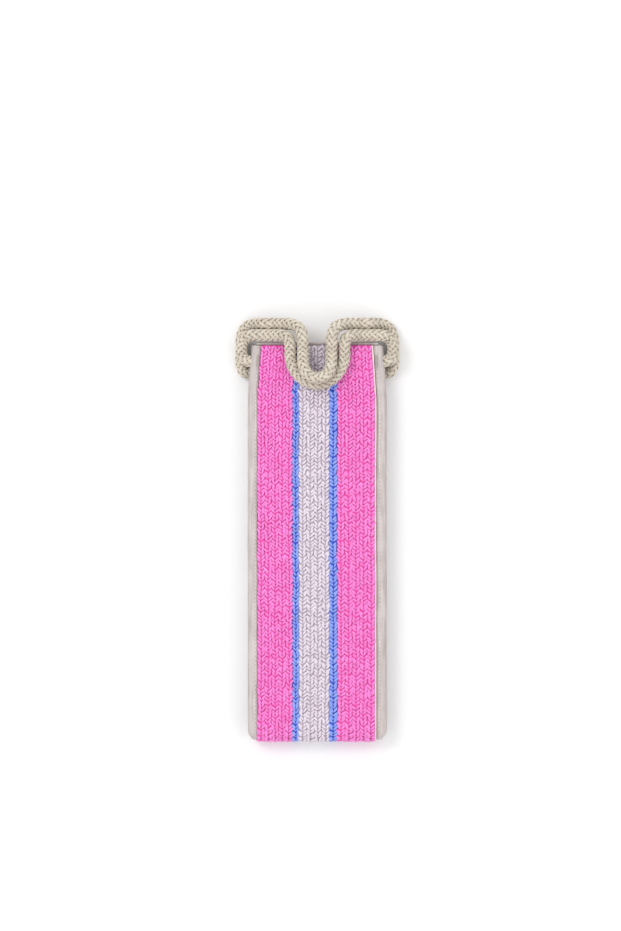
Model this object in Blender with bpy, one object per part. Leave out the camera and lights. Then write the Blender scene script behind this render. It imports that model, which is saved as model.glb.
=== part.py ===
"""Loofah back scrubber: a long two-sided washing strap, folded once and lying on a table.

Metres, +Z up.  The strap lies along Y with its fold towards -Y and its two ends towards +Y.  The back half lies
underneath with its striped face on the table, the front half lies on top of it with its striped face up, and the
loofah sides meet between them.  Both rope handles are laid over the front half.
"""

import math

import bmesh
import bpy
from mathutils import Vector

# ---- driving dimensions -------------------------------------------------------------------------------------

FOLDED_LENGTH = 0.306  # from the end of the striped face to the outside of the fold
FACE_HALF_WIDTH = 0.0455  # the striped face, from the middle to one side
TAPE_WIDTH = 0.0077  # of the edge tape that shows beside the striped face
END_NARROWING = 0.0026  # the strap is this much narrower on each side at its ends
NARROWING_LENGTH = 0.0400  # the stretch over which it narrows

FACE_THICKNESS = 0.0032  # chenille knit
FACE_CHAMFER = 0.0008  # rounded selvedge of the knit
PAD_THICKNESS = 0.00635  # flattened loofah
CRUSHED_PAD_THICKNESS = 0.0028  # the same loofah where the strap is folded
CRUSHED_LENGTH = 0.0150  # the stretch over which the pad thins towards the fold

TAPE_RECESS = 0.0016  # the edge tape lies this far below the striped face
TAPE_INNER_RECESS = 0.00125  # and this far below the loofah side
CRUSHED_TAPE_THICKNESS = 0.0040
TAPE_CHAMFER = 0.0012

HEM_DEPTH = 0.0023  # the end tape, measured along the strap
HEM_RECESS = 0.0019  # below both sides of its half
HEM_INSET = 0.0016  # the hem stops this far short of the edge tape's outer side

FOLD_SEGMENTS = 5  # rigid slices of the fold, each turning on the next
SEGMENT_STEPS = 4  # flats along the curve of one slice

ROPE_DIAMETER = 0.0096
ROPE_SOCKET_CLEARANCE = 0.0004  # round the rope's end, where it goes into the edge tape
ROPE_SOCKET_MARGIN = 0.0017  # of edge tape left between a rope's sewn end and the striped face
ROPE_POINT_SPACING = 0.0024  # between the points of a rope's tube
ROUTE_SAMPLES = 24  # taken between two points of a route, before it is spaced evenly
ROPE_SPLIT_GAP = 0.0003  # between a tail and its loop
FRONT_ROPE_EXIT = 0.0120  # how far below the strap's end the front rope leaves the edge
BACK_ROPE_EXIT = 0.0210
FRONT_TURN = (0.0079, 0.0196)  # along Y past the strap's end and up, where the front loop turns over
BACK_TURN = (0.0168, 0.0162)
FRONT_SPLIT = 0.0430  # distance from the middle at which a rope's tail ends and its loop begins
BACK_SPLIT = 0.0345

TACK_LENGTH = 0.0090  # thread bar that holds a rope's end in the edge
TACK_WIDTH = 0.0020
TACK_THICKNESS = 0.0010

CLEARANCE = 0.0003  # between pieces that touch

# ---- sizes that follow --------------------------------------------------------------------------------------

HALF_THICKNESS = FACE_THICKNESS + CLEARANCE + PAD_THICKNESS
STRAP_HALF_WIDTH = FACE_HALF_WIDTH + CLEARANCE + TAPE_WIDTH
TAPE_THICKNESS = HALF_THICKNESS - TAPE_RECESS - TAPE_INNER_RECESS
HEM_THICKNESS = HALF_THICKNESS - 2 * HEM_RECESS
ROPE_SOCKET_FLOOR = FACE_HALF_WIDTH + CLEARANCE + ROPE_SOCKET_MARGIN
FOLD_RADIUS = HALF_THICKNESS + CLEARANCE / 2
STACK_HEIGHT = 2 * FOLD_RADIUS
FLAT_LENGTH = FOLDED_LENGTH - FOLD_RADIUS  # of one half, up to where the fold begins
FOLD_LENGTH = math.pi * FOLD_RADIUS  # round the outside of the fold
UNFOLDED_LENGTH = 2 * FLAT_LENGTH + FOLD_LENGTH
HEM_END = CLEARANCE + HEM_DEPTH
END_Y = (FOLDED_LENGTH - HEM_END) / 2  # the striped faces' ends, once the strap is centred on the origin
PAD_DEPTH = FACE_THICKNESS + CLEARANCE
ROPE_LEVEL = HALF_THICKNESS / 2  # a rope leaves the edge at the middle of its half's thickness
SIDES = {"left": -1, "right": 1}

COLOURS = {
    "striped_knit": ((1.0, 0.17, 0.47), 0.95),
    "loofah_fibre": ((0.72, 0.58, 0.36), 0.85),
    "edge_tape": ((0.63, 0.58, 0.52), 0.90),
    "braided_rope": ((0.66, 0.60, 0.50), 0.92),
    "thread": ((0.80, 0.76, 0.70), 0.80),
}


def clear_scene():
    for found in list(bpy.data.objects):
        bpy.data.objects.remove(found, do_unlink=True)


def material(name):
    colour, roughness = COLOURS[name]
    made = bpy.data.materials.get(name) or bpy.data.materials.new(name)
    made.use_nodes = True
    shader = made.node_tree.nodes["Principled BSDF"]
    shader.inputs["Base Color"].default_value = (*colour, 1.0)
    shader.inputs["Roughness"].default_value = roughness
    shader.inputs["Metallic"].default_value = 0.0
    made.diffuse_color = (*colour, 1.0)
    return made


def on_strap(along, across, depth):
    """A place in the folded strap: along from the back half's end, across it, and in from the striped side."""
    past = along - FLAT_LENGTH
    if past <= 0:
        return Vector((across, END_Y - along, depth))
    if past >= FOLD_LENGTH:
        return Vector((across, END_Y - UNFOLDED_LENGTH + along, STACK_HEIGHT - depth))
    angle = past / FOLD_RADIUS
    radius = FOLD_RADIUS - depth
    y = END_Y - FLAT_LENGTH - radius * math.sin(angle)
    return Vector((across, y, FOLD_RADIUS - radius * math.cos(angle)))


def box_section(inner, outer, top, bottom):
    return [(inner, top), (outer, top), (outer, bottom), (inner, bottom)]


def chamfered_section(low, high, top, bottom, cut, both_sides):
    """A section from low to high across the strap, with the corners cut that show on the striped side."""
    points = [(low + cut, top), (low, top + cut)] if both_sides else [(low, top)]
    points += [(low, bottom)]
    points += [(high, bottom)] if both_sides else [(high - cut, bottom), (high, bottom - cut)]
    points += [(high, top + cut), (high - cut, top)]
    return points


def loft(name, stations, material_name):
    """One closed body through sections given as (along, [(across, depth), ...])."""
    bm = bmesh.new()
    rings = [[bm.verts.new(on_strap(along, *p)) for p in section] for along, section in stations]
    count = len(rings[0])
    for a, b in zip(rings, rings[1:]):
        for i in range(count):
            j = (i + 1) % count
            bm.faces.new((a[i], a[j], b[j], b[i]))
    bm.faces.new(rings[0])
    bm.faces.new(rings[-1])
    bmesh.ops.recalc_face_normals(bm, faces=bm.faces)
    mesh = bpy.data.meshes.new(name)
    bm.to_mesh(mesh)
    bm.free()
    made = bpy.data.objects.new(name, mesh)
    mesh.materials.append(material(material_name))
    bpy.context.collection.objects.link(made)
    return made


def from_end(along):
    """Distance from the nearer end of the unfolded strap."""
    return min(along, UNFOLDED_LENGTH - along)


def narrowing(along):
    return END_NARROWING * max(0.0, 1 - from_end(along) / NARROWING_LENGTH)


def crushing(along):
    """0 in the flat halves, rising to 1 at the fold and all round it."""
    return min(1.0, max(0.0, 1 - (FLAT_LENGTH - from_end(along)) / CRUSHED_LENGTH))


def face_section(along):
    half = FACE_HALF_WIDTH - narrowing(along)
    return chamfered_section(-half, half, 0, FACE_THICKNESS, FACE_CHAMFER, True)


def pad_section(along):
    half = FACE_HALF_WIDTH - narrowing(along)
    thick = PAD_THICKNESS + (CRUSHED_PAD_THICKNESS - PAD_THICKNESS) * crushing(along)
    return box_section(-half, half, PAD_DEPTH, PAD_DEPTH + thick)


def tape_section(along, side):
    inner = FACE_HALF_WIDTH + CLEARANCE - narrowing(along)
    outer = STRAP_HALF_WIDTH - narrowing(along)
    thick = TAPE_THICKNESS + (CRUSHED_TAPE_THICKNESS - TAPE_THICKNESS) * crushing(along)
    section = chamfered_section(inner, outer, TAPE_RECESS, TAPE_RECESS + thick, TAPE_CHAMFER, False)
    return [(side * across, depth) for across, depth in section]


def half_stations(half):
    """Where the sections of one half stand: its end, the narrowing, the crushing and the fold."""
    marks = [0.0, NARROWING_LENGTH, FLAT_LENGTH - CRUSHED_LENGTH, FLAT_LENGTH - CLEARANCE / 2]
    return marks if half == "back" else [UNFOLDED_LENGTH - mark for mark in reversed(marks)]


def segment_stations(number):
    step = FOLD_LENGTH / FOLD_SEGMENTS
    start = FLAT_LENGTH + (number - 1) * step + CLEARANCE / 2
    long = step - CLEARANCE
    return [start + long * i / SEGMENT_STEPS for i in range(SEGMENT_STEPS + 1)]


def layers(prefix, marks):
    """The striped face, loofah pad and two edge tapes over one stretch of the strap."""
    loft(prefix + "_striped_face", [(a, face_section(a)) for a in marks], "striped_knit")
    loft(prefix + "_loofah_pad", [(a, pad_section(a)) for a in marks], "loofah_fibre")
    for side_name, side in SIDES.items():
        stations = [(a, tape_section(a, side)) for a in marks]
        loft(f"{prefix}_{side_name}_edge_tape", stations, "edge_tape")


def end_hem(half):
    """The tape folded over the raw end of one half."""
    outer = STRAP_HALF_WIDTH - END_NARROWING - HEM_INSET
    section = box_section(-outer, outer, HEM_RECESS, HEM_RECESS + HEM_THICKNESS)
    marks = [-HEM_END, -CLEARANCE]
    if half == "front":
        marks = [UNFOLDED_LENGTH - mark for mark in reversed(marks)]
    loft(half + "_end_hem", [(a, section) for a in marks], "edge_tape")


def cut_rope_socket(half, side_name, exit_distance):
    """A round notch in the edge tape, where the rope's end is sewn in."""
    side = SIDES[side_name]
    bpy.ops.mesh.primitive_cylinder_add(
        vertices=24,
        radius=ROPE_DIAMETER / 2 + ROPE_SOCKET_CLEARANCE,
        depth=2 * (STRAP_HALF_WIDTH - ROPE_SOCKET_FLOOR),
        rotation=(0, math.pi / 2, 0),
        location=(side * STRAP_HALF_WIDTH, END_Y - exit_distance, rope_height(half)),
    )
    cutter = bpy.context.object
    cutter.name = f"{half}_{side_name}_socket_cutter"
    cutter.hide_render = True
    cutter.display_type = "WIRE"
    cut = bpy.data.objects[f"{half}_{side_name}_edge_tape"].modifiers.new("rope_socket", "BOOLEAN")
    cut.operation = "DIFFERENCE"
    cut.object = cutter


def rope_tack(half, side_name, exit_distance):
    """The thread bar over the sewn rope end, on the striped side of the edge tape."""
    side = SIDES[side_name]
    middle = exit_distance if half == "back" else UNFOLDED_LENGTH - exit_distance
    inner = FACE_HALF_WIDTH + 2 * CLEARANCE - narrowing(middle - TACK_LENGTH / 2)
    inner = max(inner, FACE_HALF_WIDTH + 2 * CLEARANCE - narrowing(middle + TACK_LENGTH / 2))
    top = TAPE_RECESS - CLEARANCE - TACK_THICKNESS
    section = box_section(inner, inner + TACK_WIDTH, top, top + TACK_THICKNESS)
    section = [(side * across, depth) for across, depth in section]
    marks = [middle - TACK_LENGTH / 2, middle + TACK_LENGTH / 2]
    loft(f"{half}_{side_name}_rope_tack", [(a, section) for a in marks], "thread")


def rope_height(half):
    return ROPE_LEVEL if half == "back" else STACK_HEIGHT - ROPE_LEVEL


def smooth_route(points):
    """A smooth curve through the route's points, sampled evenly."""
    points = [Vector(p) for p in points]
    padded = [2 * points[0] - points[1], *points, 2 * points[-1] - points[-2]]
    dense = []
    for a, b, c, d in zip(padded, padded[1:], padded[2:], padded[3:]):
        for i in range(ROUTE_SAMPLES):
            t = i / ROUTE_SAMPLES
            bend = 2 * a - 5 * b + 4 * c - d
            twist = 3 * b - a - 3 * c + d
            dense.append(0.5 * (2 * b + (c - a) * t + bend * t**2 + twist * t**3))
    dense.append(points[-1])
    lengths = [0.0]
    for a, b in zip(dense, dense[1:]):
        lengths.append(lengths[-1] + (b - a).length)
    count = max(8, round(lengths[-1] / ROPE_POINT_SPACING))
    sampled, at = [], 0
    for i in range(count + 1):
        target = lengths[-1] * i / count
        while at < len(lengths) - 2 and lengths[at + 1] < target:
            at += 1
        share = (target - lengths[at]) / max(lengths[at + 1] - lengths[at], 1e-9)
        sampled.append(dense[at].lerp(dense[at + 1], share))
    return sampled


def rope(name, route, turn_height):
    """A tube along a route given in millimetres from the strap's end, with its origin on the loop's turning axis."""
    points = [Vector((x, END_Y * 1000 + y, z)) / 1000 for x, y, z in route]
    origin = Vector((0, END_Y + turn_height[0], turn_height[1]))
    curve = bpy.data.curves.new(name, "CURVE")
    curve.dimensions = "3D"
    curve.bevel_depth = ROPE_DIAMETER / 2
    curve.bevel_resolution = 3
    curve.use_fill_caps = True
    sampled = smooth_route(points)
    spline = curve.splines.new("POLY")
    spline.points.add(len(sampled) - 1)
    for point, place in zip(spline.points, sampled):
        point.co = (*(place - origin), 1.0)
    curve.materials.append(material("braided_rope"))
    made = bpy.data.objects.new(name, curve)
    made.location = origin
    bpy.context.collection.objects.link(made)
    return made


# ---- rope routes, in millimetres: across, past the strap's end, above the table -----------------------------
# A tail runs from its sewn end out of the edge, up beside the corner and round it to the loop's turning axis.

EXIT_START = ROPE_SOCKET_FLOOR * 1000 + 0.3
BACK_LEVEL = ROPE_LEVEL * 1000
FRONT_LEVEL = (STACK_HEIGHT - ROPE_LEVEL) * 1000
HALF_GAP = ROPE_SPLIT_GAP * 500
FRONT_TAIL = [
    (EXIT_START, -FRONT_ROPE_EXIT * 1000, FRONT_LEVEL),
    (52.0, -FRONT_ROPE_EXIT * 1000, FRONT_LEVEL),
    (55.4, -10.9, FRONT_LEVEL),
    (57.7, -7.8, 15.1),
    (58.5, -3.2, 15.2),
    (57.9, 1.6, 15.7),
    (55.2, 5.6, 16.9),
    (51.0, 7.6, 18.6),
    (46.6, FRONT_TURN[0] * 1000, FRONT_TURN[1] * 1000),
    (FRONT_SPLIT * 1000 + HALF_GAP, FRONT_TURN[0] * 1000, FRONT_TURN[1] * 1000),
]
BACK_TAIL = [
    (EXIT_START, -BACK_ROPE_EXIT * 1000, BACK_LEVEL),
    (52.0, -BACK_ROPE_EXIT * 1000, BACK_LEVEL),
    (55.9, -20.1, BACK_LEVEL),
    (58.2, -17.0, BACK_LEVEL),
    (58.9, -11.5, 4.93),
    (58.8, -3.0, 4.95),
    (58.8, 4.0, 5.0),
    (57.6, 10.2, 5.3),
    (54.2, 14.8, 6.5),
    (49.4, 16.8, 8.9),
    (45.0, 17.0, 11.8),
    (41.2, 16.9, 14.8),
    (37.6, BACK_TURN[0] * 1000, BACK_TURN[1] * 1000),
    (BACK_SPLIT * 1000 + HALF_GAP, BACK_TURN[0] * 1000, BACK_TURN[1] * 1000),
]
# A loop starts on its turning axis, turns down over the end of the strap and lies on the front half as a U.
FRONT_LOOP = [
    (-FRONT_SPLIT * 1000 + HALF_GAP, FRONT_TURN[0] * 1000, FRONT_TURN[1] * 1000),
    (-38.4, FRONT_TURN[0] * 1000, FRONT_TURN[1] * 1000),
    (-32.8, 7.9, 20.6),
    (-27.4, 7.8, 22.6),
    (-22.8, 5.6, 24.4),
    (-20.9, 0.6, 25.2),
    (-20.6, -5.0, 25.1),
    (-20.3, -11.0, 25.0),
    (-17.6, -18.8, 25.0),
    (-12.0, -25.4, 25.0),
    (-4.6, -29.0, 25.0),
    (4.0, -29.2, 25.0),
    (11.6, -25.8, 25.0),
    (17.4, -19.2, 25.0),
    (20.4, -11.4, 25.0),
    (20.8, -5.0, 25.1),
    (20.9, 0.6, 25.2),
    (22.8, 5.6, 24.4),
    (27.4, 7.8, 22.6),
    (32.8, 7.9, 20.6),
    (38.4, FRONT_TURN[0] * 1000, FRONT_TURN[1] * 1000),
    (FRONT_SPLIT * 1000 - HALF_GAP, FRONT_TURN[0] * 1000, FRONT_TURN[1] * 1000),
]
BACK_LOOP = [
    (-BACK_SPLIT * 1000 + HALF_GAP, BACK_TURN[0] * 1000, BACK_TURN[1] * 1000),
    (-31.2, BACK_TURN[0] * 1000, BACK_TURN[1] * 1000),
    (-25.4, 16.7, 17.9),
    (-19.6, 16.2, 20.9),
    (-14.2, 13.4, 24.4),
    (-11.7, 8.0, 26.4),
    (-11.2, 2.0, 27.0),
    (-11.0, -4.2, 27.1),
    (-10.9, -11.0, 29.4),
    (-10.2, -17.2, 32.4),
    (-6.9, -22.8, 34.0),
    (0.0, -25.4, 34.3),
    (6.9, -22.8, 34.0),
    (10.1, -17.2, 32.4),
    (10.7, -11.0, 29.4),
    (10.9, -4.2, 27.1),
    (11.1, 2.0, 27.0),
    (11.6, 8.0, 26.4),
    (14.1, 13.4, 24.4),
    (19.6, 16.2, 20.9),
    (25.4, 16.7, 17.9),
    (31.2, BACK_TURN[0] * 1000, BACK_TURN[1] * 1000),
    (BACK_SPLIT * 1000 - HALF_GAP, BACK_TURN[0] * 1000, BACK_TURN[1] * 1000),
]


def rope_pieces(half, tail, loop, turn):
    for side_name, side in SIDES.items():
        rope(f"{half}_{side_name}_rope_tail", [(side * x, y, z) for x, y, z in tail], turn)
    rope(half + "_rope_loop", loop, turn)


def build():
    clear_scene()
    layers("back", half_stations("back"))
    layers("front", half_stations("front"))
    for number in range(1, FOLD_SEGMENTS + 1):
        layers(f"fold_{number}", segment_stations(number))
    for half, exit_distance in (("back", BACK_ROPE_EXIT), ("front", FRONT_ROPE_EXIT)):
        end_hem(half)
        for side_name in SIDES:
            cut_rope_socket(half, side_name, exit_distance)
            rope_tack(half, side_name, exit_distance)
    rope_pieces("back", BACK_TAIL, BACK_LOOP, BACK_TURN)
    rope_pieces("front", FRONT_TAIL, FRONT_LOOP, FRONT_TURN)


build()
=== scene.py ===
import math

import bmesh
import bpy
import numpy as np
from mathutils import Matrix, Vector, noise


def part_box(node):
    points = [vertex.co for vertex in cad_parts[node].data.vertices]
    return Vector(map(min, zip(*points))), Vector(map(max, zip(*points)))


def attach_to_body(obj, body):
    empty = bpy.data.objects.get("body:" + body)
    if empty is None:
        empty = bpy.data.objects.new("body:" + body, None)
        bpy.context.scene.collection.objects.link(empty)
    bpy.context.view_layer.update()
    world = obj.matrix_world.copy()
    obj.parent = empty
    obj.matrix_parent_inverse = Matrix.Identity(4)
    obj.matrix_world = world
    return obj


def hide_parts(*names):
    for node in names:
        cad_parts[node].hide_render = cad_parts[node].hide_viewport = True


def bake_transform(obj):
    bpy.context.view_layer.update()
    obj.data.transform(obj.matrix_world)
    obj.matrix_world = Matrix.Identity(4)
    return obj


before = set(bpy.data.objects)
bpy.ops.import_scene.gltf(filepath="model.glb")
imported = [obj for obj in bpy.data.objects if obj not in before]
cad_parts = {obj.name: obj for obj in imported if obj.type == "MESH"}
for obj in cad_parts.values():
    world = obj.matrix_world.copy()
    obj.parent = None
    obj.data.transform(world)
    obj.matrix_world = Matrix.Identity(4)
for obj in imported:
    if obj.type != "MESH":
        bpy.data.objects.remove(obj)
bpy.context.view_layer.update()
print("stage: frame loaded")

# the strap's own sizes, read from the frame
faceLow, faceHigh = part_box("back_striped_face")
padLow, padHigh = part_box("back_loofah_pad")
tapeLow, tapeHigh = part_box("back_right_edge_tape")
hemLow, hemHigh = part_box("back_end_hem")
cloth = {
    "gap": 0.0003,  # between pieces that touch
    "endY": faceHigh.y,
    "faceHalf": faceHigh.x,
    "faceThick": faceHigh.z,
    "stack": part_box("front_striped_face")[1].z,
    "tapeHalf": tapeHigh.x,
    "tapeTop": tapeLow.z,
    "tapeThick": tapeHigh.z - tapeLow.z,
    "padTop": padLow.z,
    "padThick": padHigh.z - padLow.z,
    "hemHalf": hemHigh.x,
    "hemTop": hemLow.z,
    "hemThick": hemHigh.z - hemLow.z,
    "hemLong": hemHigh.y - hemLow.y,
    "narrowing": 0.0026,  # on each side at the ends
    "narrowingLong": 0.040,
    "crushedLong": 0.015,  # the stretch over which the loofah thins towards the fold
    "crushedPad": 0.0028,
    "crushedTape": 0.0040,
    "cornerPull": 0.0030,  # the tape pulls in where it goes round the fold
    "drift": 0.00035,  # how far the whole strap wanders sideways, so that its edges aren't ruled lines
}
foldSlices = 5
chain = ["back_half", *(f"fold_{number}" for number in range(1, foldSlices + 1)), "front_half"]
foldRadius = cloth["stack"] / 2
flatLong = cloth["endY"] - faceLow.y + cloth["gap"] / 2
foldLong = math.pi * foldRadius
wholeLong = 2 * flatLong + foldLong
foldStep = foldLong / foldSlices
foldY = cloth["endY"] - flatLong


def stretches():
    # name, start and end along the unfolded strap: two halves, and one stretch over each of the six fold lines
    edges = [0.0, flatLong - foldStep / 2]
    edges += [flatLong + foldStep * (number + 0.5) for number in range(foldSlices)]
    edges += [flatLong + foldLong + foldStep / 2, wholeLong]
    names = ["back", *(f"fold_{number}" for number in range(1, foldSlices + 2)), "front"]
    return list(zip(names, edges, edges[1:]))


def hasNode(index):
    # there is one stretch more over the fold than there are slices, so the sixth stands in for no node
    return index != foldSlices + 1


def folded(flat):
    # flat places are (across, along, height above the striped side); the fold takes them into the object
    across, along, height = flat.T
    past = along - flatLong
    angle = np.clip(past / foldRadius, 0.0, math.pi)
    radius = foldRadius + height
    beyond = past - angle * foldRadius
    y = foldY - radius * np.sin(angle) - np.cos(angle) * beyond
    z = foldRadius - radius * np.cos(angle) + np.sin(angle) * beyond
    return np.column_stack([across, y, z])


def fromEnd(along):
    return min(along, wholeLong - along)


def narrowed(across, along):
    # the strap tapers a little towards its two ends
    pull = cloth["narrowing"] * max(0.0, 1 - max(0.0, fromEnd(along)) / cloth["narrowingLong"])
    return across - math.copysign(pull * min(1.0, abs(across) / cloth["faceHalf"]), across)


def crushedTo(whole, crushed, along):
    # a thickness that goes from whole to crushed towards the fold
    share = min(1.0, max(0.0, 1 - (flatLong - fromEnd(along)) / cloth["crushedLong"]))
    return whole + (crushed - whole) * share


def foldShare(along):
    # 0 in the halves, 1 at the middle of the fold
    angle = min(math.pi, max(0.0, (along - flatLong) / foldRadius))
    return math.sin(angle) ** 2


def wander(along):
    return cloth["drift"] * noise.noise(Vector((along * 22, 3.1, 0.0)))


def newObject(name, mesh, finish=None):
    made = bpy.data.objects.new(name, mesh)
    bpy.context.scene.collection.objects.link(made)
    if finish is not None:
        mesh.materials.clear()
        mesh.materials.append(finish)
    return made


def meshFrom(name, places, faces):
    mesh = bpy.data.meshes.new(name)
    mesh.from_pydata([tuple(p) for p in places], [], faces)
    mesh.update()
    return mesh


def smoothed(mesh, angle=180):
    mesh.shade_smooth()
    mesh.set_sharp_from_angle(angle=math.radians(angle))
    return mesh


def outward(mesh):
    bm = bmesh.new()
    bm.from_mesh(mesh)
    bmesh.ops.recalc_face_normals(bm, faces=bm.faces)
    bm.to_mesh(mesh)
    bm.free()
    return mesh


def wrapped(mesh):
    # keeps each point's flat place for the materials, then folds the mesh
    flat = np.empty(len(mesh.vertices) * 3)
    mesh.vertices.foreach_get("co", flat)
    kept = mesh.attributes.new("strapPlace", "FLOAT_VECTOR", "POINT")
    kept.data.foreach_set("vector", flat.astype(np.float32))
    shaped = flat.reshape(-1, 3)
    for place in shaped:
        place[0] = narrowed(place[0], place[1]) + wander(place[1])
    mesh.vertices.foreach_set("co", folded(shaped).ravel())
    mesh.update()
    return mesh


def attach(made, index):
    # a half rides on its body; a stretch over a fold line goes on no body, and its transform is baked into its
    # mesh
    if index == 0:
        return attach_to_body(made, chain[0])
    if index == len(chain):
        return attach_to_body(made, chain[-1])
    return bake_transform(made)


def swings(count, start=0.0):
    # angles spaced evenly round a circle
    return [2 * math.pi * i / count + start for i in range(count)]


def oval(x, y, z, wide, high, angles, tilt=0.0):
    return [(x + wide * math.cos(a), y + tilt * math.sin(a), z + high * math.sin(a)) for a in angles]


def plumpness(t, cut, least):
    # thickness along a strand: full in its middle, down to about least at its blunt ends
    return least + (1 - least) * math.sin(math.pi * min(1 - cut, max(cut, t)))


def tube(rings):
    # places and faces of a skin over rings of equal size, with a cap at each end
    count = len(rings[0])
    places = [p for ring in rings for p in ring]
    faces = []
    for k in range(len(rings) - 1):
        for i in range(count):
            j = (i + 1) % count
            faces.append((k * count + i, k * count + j, (k + 1) * count + j, (k + 1) * count + i))
    faces.append(tuple(reversed(range(count))))
    faces.append(tuple((len(rings) - 1) * count + i for i in range(count)))
    return places, faces


def addTube(places, faces, rings):
    base = len(places)
    morePlaces, moreFaces = tube(rings)
    places += morePlaces
    faces += [tuple(base + i for i in face) for face in moreFaces]


def slab(name, columns, start, end, rows, levels):
    # a closed slab over a grid, with one function of the place for each side's height
    places, faces = [], []
    for level in levels:
        for r in range(rows + 1):
            along = start + (end - start) * r / rows
            places += [(x, along, level(x, along)) for x in columns]
    wide = len(columns)
    layer = wide * (rows + 1)
    for r in range(rows):
        for c in range(wide - 1):
            a = r * wide + c
            faces.append((a, a + 1, a + 1 + wide, a + wide))
            faces.append((layer + a, layer + a + wide, layer + a + 1 + wide, layer + a + 1))
        for a, b in ((r * wide, (r + 1) * wide), ((r + 1) * wide - 1, (r + 2) * wide - 1)):
            faces.append((a, b, layer + b, layer + a))
    for c in range(wide - 1):
        for a in (c, rows * wide + c):
            faces.append((a, a + 1, layer + a + 1, layer + a))
    return outward(meshFrom(name, places, faces))


cameraView = {
    "lens": 120,
    "sensor": 36,
    "heightSeen": 0.7169,
    "middle": (-0.0052, 0.0593),
    "level": 0.018,  # height above the table at which heightSeen holds
}


def makeCamera():
    data = bpy.data.cameras.new("camera")
    data.lens = cameraView["lens"]
    data.sensor_width = cameraView["sensor"]
    away = cameraView["heightSeen"] * data.lens / data.sensor_width
    data.clip_end = away * 3
    camera = bpy.data.objects.new("camera", data)
    camera.location = (*cameraView["middle"], cameraView["level"] + away)
    bpy.context.scene.collection.objects.link(camera)
    bpy.context.scene.camera = camera


def nodeMaker(tree):
    # a function that adds a node, with its settings, and with values or links for its inputs
    def add(kind, inputs=None, **settings):
        made = tree.nodes.new(kind)
        for key, value in settings.items():
            setattr(made, key, value)
        for key, value in (inputs or {}).items():
            if isinstance(value, bpy.types.NodeSocket):
                tree.links.new(value, made.inputs[key])
            else:
                made.inputs[key].default_value = value
        return made

    return add


def maths(add, operation, a, b=0.0):
    return add("ShaderNodeMath", {0: a, 1: b}, operation=operation).outputs[0]


def ranged(add, value, low, high, toLow=0.0, toHigh=1.0):
    inputs = {"Value": value, "From Min": low, "From Max": high, "To Min": toLow, "To Max": toHigh}
    return add("ShaderNodeMapRange", inputs).outputs[0]


def mixedColour(add, share, a, b):
    return add("ShaderNodeMix", {"Factor": share, "A": a, "B": b}, data_type="RGBA").outputs["Result"]


def bumped(add, height, strength, distance, normal=None, invert=False):
    inputs = {"Height": height, "Strength": strength, "Distance": distance}
    if normal is not None:
        inputs["Normal"] = normal
    return add("ShaderNodeBump", inputs, invert=invert).outputs["Normal"]


def speckled(add, place, scale, detail):
    return add("ShaderNodeTexNoise", {"Vector": place, "Scale": scale, "Detail": detail}).outputs["Fac"]


def attribute(add, name, output="Vector"):
    return add("ShaderNodeAttribute", attribute_name=name, attribute_type="GEOMETRY").outputs[output]


def objectPlace(add):
    return add("ShaderNodeTexCoord").outputs["Object"]


def rgb(red, green, blue):
    return (red, green, blue, 1.0)


def makeYarnFuzz():
    # soft fibres: fine bump, a slow random drift of colour between a light and a darker tone, and painted shade
    # passed in by each material that pulls the colour towards the darker tone
    tree = bpy.data.node_groups.new("yarnFuzz", "ShaderNodeTree")
    for label, kind, value in (
        ("Vector", "Vector", (0, 0, 0)),
        ("Light", "Color", rgb(1, 1, 1)),
        ("Deep", "Color", rgb(0.5, 0.5, 0.5)),
        ("Depth", "Float", 0.0),
        ("Fibre Scale", "Float", 2500.0),
        ("Patch Scale", "Float", 90.0),
        ("Strength", "Float", 0.5),
        ("Distance", "Float", 0.0003),
    ):
        socket = tree.interface.new_socket(label, in_out="INPUT", socket_type="NodeSocket" + kind)
        socket.default_value = value
    for label, kind in (("Color", "Color"), ("Normal", "Vector")):
        tree.interface.new_socket(label, in_out="OUTPUT", socket_type="NodeSocket" + kind)
    add = nodeMaker(tree)
    given, out = add("NodeGroupInput").outputs, add("NodeGroupOutput").inputs
    fibre = speckled(add, given["Vector"], given["Fibre Scale"], 3.0)
    patch = speckled(add, given["Vector"], given["Patch Scale"], 2.0)
    drift = ranged(add, patch, 0.35, 0.65, 0.0, 0.22)
    speck = ranged(add, fibre, 0.3, 0.7, 0.16, 0.0)
    toShade = {0: maths(add, "ADD", drift, speck), 1: given["Depth"]}
    share = add("ShaderNodeMath", toShade, operation="ADD", use_clamp=True).outputs[0]
    tree.links.new(mixedColour(add, share, given["Light"], given["Deep"]), out["Color"])
    tree.links.new(bumped(add, fibre, given["Strength"], given["Distance"]), out["Normal"])
    return tree


ropeLook = {
    "diameter": 0.0096,
    "strands": 6,  # each way round
    "pitch": 0.0276,  # of one full turn of a strand
    "ringStep": 0.00058,
    "routeSamples": 24,  # taken between two points of a route, before it is spaced evenly
    "sides": 8,
    "strandWide": 0.00166,  # half of a strand's width
    "strandThick": 0.00086,
    "strandSlant": 0.0009,  # how far the plies run along while they cross a strand
    "weave": 0.00046,  # how far a strand rises and dips as it goes over and under
    # the core is a dark tube inside the strands that stands for the shade in the gaps between them
    "coreShare": 0.30,  # radius of the dark core, as a share of the diameter
    "sewnLong": 0.009,  # the stretch over which the sewn end is pressed flat
    "sewnFlat": 0.60,
    "turnHalf": 0.007,  # half of the stretch that twists where a loop swings
    "turnReach": 0.92,  # the share of that stretch over which it bends
    "pathStep": 4,  # rings between the places given as the cord's path
}
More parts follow.
